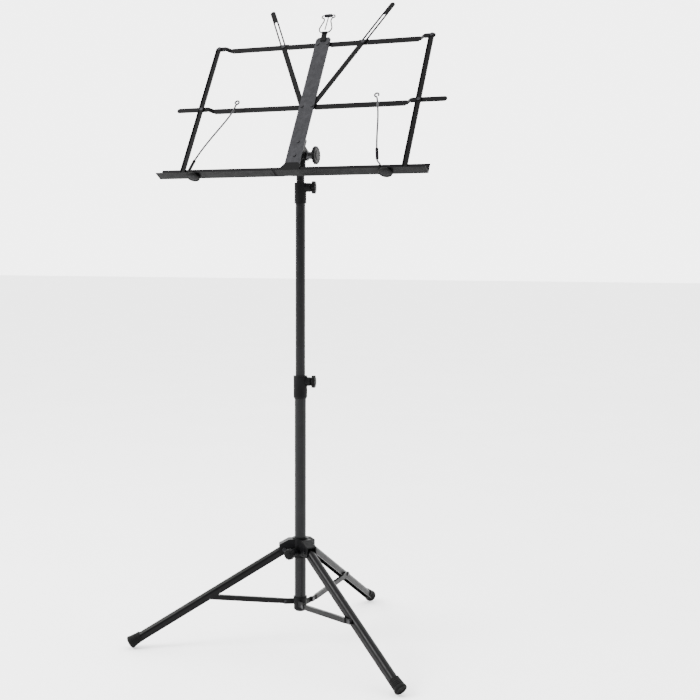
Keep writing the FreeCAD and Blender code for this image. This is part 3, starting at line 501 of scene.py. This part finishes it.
def holder_button(side):
    """The disc under the ledge: a rubber rim round a shallow domed cap."""
    node = side + "_holder_disc"
    low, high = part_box(node)
    middle = 0.5 * (low + high)
    down = -desk_up
    near, far, _ = extent(node, middle, down)
    radius = BUTTON_RADIUS
    profile = [(near, 0.5 * MM), (near, radius - 0.8 * MM), (near + 0.9 * MM, radius),
               (far - 1.2 * MM, radius), (far - 0.2 * MM, radius - 1.2 * MM),
               (far, radius - 2.4 * MM), (far - 0.8 * MM, radius - 3.6 * MM),
               (far - 0.9 * MM, 0.5 * MM)]
    rim = lathe(side + "_holder_button", middle, down, rounded(profile, 0.5 * MM, 3),
                "black_rubber", side + "_half")
    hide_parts(node)
    profile = [(far - 1.4 * MM, 1 * MM), (far - 1.4 * MM, radius - 3.4 * MM),
               (far - 0.7 * MM, radius - 3.9 * MM), (far - 0.3 * MM, radius - 6 * MM),
               (far - 0.15 * MM, 0.5 * MM)]
    lathe(side + "_holder_button_cap", middle, down, rounded(profile, 0.4 * MM, 3), "grey_pad",
          side + "_half")


CLIP_HEIGHT = 304.0      # where the loops start, up the spine, mm
CLIP_CROSS = 339.8       # where the eyes and the coil are, mm
CLIP_FRONT = 1.6
CLIP_EYE = 3.0
COIL_HALF = 6.6
COIL_RADIUS = 2.2
COIL_TURNS = 6
COIL_STEPS = 10
LOOP_WIRE = 1.2 * MM
COIL_WIRE = 1.05 * MM
PRONG_WIRE = 1.1 * MM


def page_clip():
    """The wire clip: a loop on each side, a coil between their eyes, and a middle prong."""
    for side, label in ((-1, "left"), (1, "right")):
        arm = [(side * 0.5, CLIP_HEIGHT), (side * 7.0, CLIP_HEIGHT + 0.6),
               (side * 11.6, CLIP_HEIGHT + 7), (side * 9.6, CLIP_HEIGHT + 17),
               (side * 6.6, CLIP_CROSS - 8)]
        points = [on_desk(across, along, CLIP_FRONT) for across, along in arm]
        points += loop_points((side * 9.4, CLIP_CROSS), CLIP_EYE, -100 if side > 0 else -80,
                              290 * side, CLIP_FRONT)
        if side < 0:
            points.reverse()
        loop = round_wire("clip_loops_" + label, points, LOOP_WIRE, "clip_wire", "clip")
        if side < 0:
            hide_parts("clip_wire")
    coil = []
    for step in range(COIL_TURNS * COIL_STEPS + 1):
        angle = 2 * math.pi * step / COIL_STEPS
        across = -COIL_HALF + 2 * COIL_HALF * step / (COIL_TURNS * COIL_STEPS)
        coil.append(on_desk(across, CLIP_CROSS + COIL_RADIUS * (1 - math.cos(angle)),
                            CLIP_FRONT + COIL_RADIUS * math.sin(angle)))
    round_wire("clip_coil", coil, COIL_WIRE, "clip_wire", "clip")
    prong = [on_desk(0, CLIP_CROSS, CLIP_FRONT), on_desk(0, CLIP_HEIGHT + 22, CLIP_FRONT + 0.5),
             on_desk(0, CLIP_HEIGHT + 5.4, CLIP_FRONT + 1.3)]
    round_wire("clip_prong", prong, PRONG_WIRE, "clip_wire", "clip")


BOLT_RADIUS = 3 * MM
BOLT_HEAD = 4.6 * MM
BOLT_STEPS = 96
HEX_START = 4.6 * MM     # a station is a circle inside this radius, and a hexagon outside it


def bolt_head():
    """The tilt bolt, with a chamfered hexagonal head on its left end."""
    origin, axis = joint_line("tilt_knob_turn")
    low, high, radius = extent("tilt_bolt", origin, axis)

    def hexagon(angle, reach):
        if reach < HEX_START:
            return reach
        sector = (angle % (math.pi / 3)) - math.pi / 6
        return reach * math.cos(math.pi / 6) / math.cos(sector)

    profile = [(low, 0.4 * MM), (low, 0.78 * radius), (low + 0.9 * MM, radius),
               (low + BOLT_HEAD, radius), (low + BOLT_HEAD, BOLT_RADIUS), (high, BOLT_RADIUS),
               (high, 0.4 * MM)]
    item = lathe("tilt_bolt_forging", origin, axis, profile, "zinc_steel", "desk",
                 hexagon, BOLT_STEPS)
    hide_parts("tilt_bolt")


WASHER_BORE = 3.05 * MM
WASHER_DEPTH = 1.9 * MM
SPACER_RADIUS = 6.3 * MM
GROOVE_RADIUS = 5.5 * MM
GROOVE_WIDTH = 1 * MM


def washers():
    """A plain washer, then a spacer with two grooves."""
    origin, axis = joint_line("tilt_knob_turn")
    low, high, radius = extent("tilt_washers", origin, axis)
    stations = [(low, WASHER_BORE), (low, radius), (low + WASHER_DEPTH, radius),
                (low + WASHER_DEPTH, SPACER_RADIUS)]
    for groove in range(2):
        at = low + (4.2 + 3.2 * groove) * MM
        stations += [(at, SPACER_RADIUS), (at, GROOVE_RADIUS), (at + GROOVE_WIDTH, GROOVE_RADIUS),
                     (at + GROOVE_WIDTH, SPACER_RADIUS)]
    stations += [(high, SPACER_RADIUS), (high, WASHER_BORE)]
    item = lathe("tilt_washer_stack", origin, axis, rounded(stations, 0.3 * MM, 2), "zinc_steel",
                 "desk")
    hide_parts("tilt_washers")


# ---------------------------------------------------------------- stage, light and camera

CAMERA_PLACE = Vector((830, -1858, 682)) * MM     # from the foot of the pole
LOOK = Vector((-0.3679, 0.9263, -0.0795))
ROLL = math.radians(0.21)
LENS = 60.84
SENSOR = 36
FLOOR_REACH = 30.0
FLOOR_GAP = 0.2 * MM
# Each light: its place and its aim from the foot of the pole, its size and its power in watts.
LIGHTS = (("key", Vector((-2.4, -2.2, 2.6)), Vector((0, 0, 0.5)), (1.6, 1.6), 280),
          ("side", Vector((3.0, 0.2, 1.2)), Vector((0, 0, 0.6)), (1.0, 2.4), 14))
SURROUND_LIFT = 0.8
SURROUND_FROM = (-0.3, 0.6)
SURROUND_TO = (1.0, 5.0)


def pole_foot():
    """Where the middle line of the pole meets the floor."""
    low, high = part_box("lower_tube")
    return Vector((0.5 * (low.x + high.x), 0.5 * (low.y + high.y), 0))


def add_camera():
    """A camera that looks from the reader's right, a little above half-way up the stand."""
    data = bpy.data.cameras.new("camera")
    data.lens = LENS
    data.sensor_width = SENSOR
    item = bpy.data.objects.new("camera", data)
    bpy.context.scene.collection.objects.link(item)
    spot = pole_foot() + CAMERA_PLACE
    turn = LOOK.to_track_quat("-Z", "Y").to_matrix().to_4x4()
    item.matrix_world = Matrix.Translation(spot) @ turn @ Matrix.Rotation(ROLL, 4, "Z")
    bpy.context.scene.camera = item


def add_floor():
    """A wide pale sheet just under the feet."""
    corners = [(-1, -1), (1, -1), (1, 1), (-1, 1)]
    mesh = bpy.data.meshes.new("floor")
    mesh.from_pydata([(FLOOR_REACH * x, FLOOR_REACH * y, 0) for x, y in corners], [],
                     [(0, 1, 2, 3)])
    item = bpy.data.objects.new("floor", mesh)
    bpy.context.scene.collection.objects.link(item)
    item.location.z = cad_low.z - FLOOR_GAP
    material, shader = new_material("floor_paper", (0.93, 0.93, 0.93), 0.85)
    mottle(material, noise(material, 3), shader, (0.92, 0.92, 0.92), (0.94, 0.94, 0.94))
    mesh.materials.append(material)


def add_light(name, spot, aim, size, power):
    """A rectangular area light turned to its aim."""
    data = bpy.data.lights.new(name, "AREA")
    data.shape = "RECTANGLE"
    data.size, data.size_y = size
    data.energy = power
    item = bpy.data.objects.new(name, data)
    bpy.context.scene.collection.objects.link(item)
    item.location = spot
    item.rotation_euler = (aim - spot).to_track_quat("-Z", "Y").to_euler()


def add_world():
    """A bright surround, dimmer on the reader's side of the stand and low down."""
    world = bpy.data.worlds.new("studio")
    bpy.context.scene.world = world
    world.use_nodes = True
    tree = world.node_tree
    place = tree.nodes.new("ShaderNodeTexCoord")
    facing = tree.nodes.new("ShaderNodeVectorMath")
    facing.operation = "DOT_PRODUCT"
    facing.inputs[1].default_value = Vector((LOOK.x, LOOK.y, SURROUND_LIFT)).normalized()
    ramp = tree.nodes.new("ShaderNodeMapRange")
    ramp.inputs["From Min"].default_value, ramp.inputs["From Max"].default_value = SURROUND_FROM
    ramp.inputs["To Min"].default_value, ramp.inputs["To Max"].default_value = SURROUND_TO
    tree.links.new(place.outputs["Generated"], facing.inputs[0])
    tree.links.new(facing.outputs["Value"], ramp.inputs["Value"])
    tree.links.new(ramp.outputs["Result"], tree.nodes["Background"].inputs["Strength"])
    tree.nodes["Background"].inputs["Color"].default_value = (1, 1, 1, 1)


def main():
    """Dress the frame, replace what it draws too plainly, then set the stage."""
    dress_cad_nodes()
    for row in KNOBS:
        knob(*row)
    for number in LEGS:
        rubber_foot(number)
    for row in HOLDERS:
        page_holder(*row)
    for side in SIDES:
        holder_button(side)
    page_clip()
    bolt_head()
    washers()
    add_camera()
    add_floor()
    add_world()
    base = pole_foot()
    for name, spot, aim, size, power in LIGHTS:
        add_light(name, base + spot, base + aim, size, power)


main()
